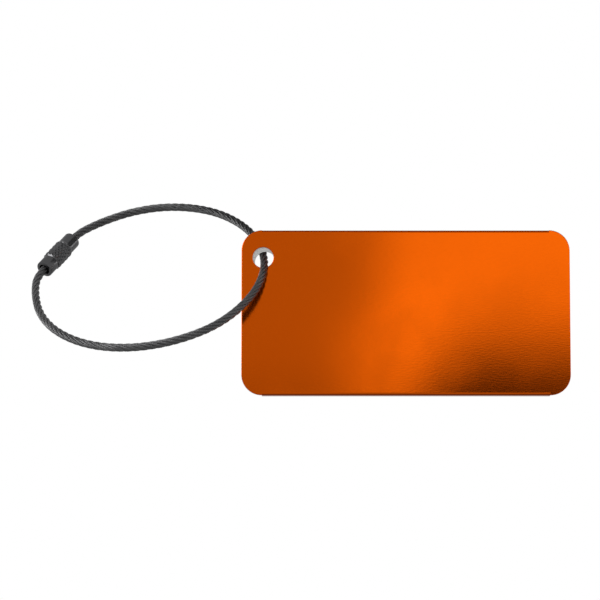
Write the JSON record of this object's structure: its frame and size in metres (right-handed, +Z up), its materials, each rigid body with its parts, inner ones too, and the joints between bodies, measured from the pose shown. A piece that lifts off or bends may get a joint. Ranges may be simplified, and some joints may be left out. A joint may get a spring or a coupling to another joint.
{
  "type": "luggage tag",
  "caption": "Folded aluminium luggage tag with a slide-in address card under a clear cover, on a steel wire loop with a knurled screw clasp.",
  "frame": {"origin": "centre of the tag's sleeve, without the wire loop and its clasp", "axes": "+X along the tag's length, away from the loop; the face looks along -Y; +Z up across the tag's height"},
  "size_m": [0.1316, 0.0431, 0.0505],
  "materials": {
    "orange_anodised": "orange anodised, fine satin grain",
    "bare_aluminium": "bare satin",
    "card_paper": "matt card",
    "clear_plastic": "clear, polished",
    "black_wire": "blackened stranded wire",
    "black_plated": "black plated, turned and knurled"
  },
  "bodies": {
    "tag": {"tag_shell": "orange_anodised", "insert_plate": "bare_aluminium"},
    "card_holder": {"address_card": "card_paper", "clear_window": "clear_plastic"},
    "loop": {"loop_cable": "black_wire", "stop_ferrule": "black_plated"},
    "barrel": {"knurled_barrel": "black_plated"},
    "stud": {"screw_ferrule": "black_plated"}
  },
  "joints": [
    {"name": "loop_swing", "type": "hinge", "parent": "tag", "child": "loop", "pos_m": [-0.0345, -0.0012, 0.013], "axis": [0, 1, 0], "range_deg": [-120, 165]},
    {"name": "card_slide", "type": "slide", "parent": "tag", "child": "card_holder", "axis": [1, 0, 0], "range_m": [0, 0.055]},
    {"name": "barrel_spin", "type": "hinge", "parent": "loop", "child": "barrel", "pos_m": [-0.08574, 0.01276, 0.01618], "axis": [0.4908, 0.5758, 0.6539], "range_deg": [0, 1800]},
    {"name": "stud_travel", "type": "slide", "parent": "loop", "child": "stud", "axis": [-0.4908, -0.5758, -0.6539], "range_m": [0, 0.003]}
  ],
  "couplings": [
    {"joint": "stud_travel", "follows": "barrel_spin", "m_per_rad": 0.00009549}
  ]
}
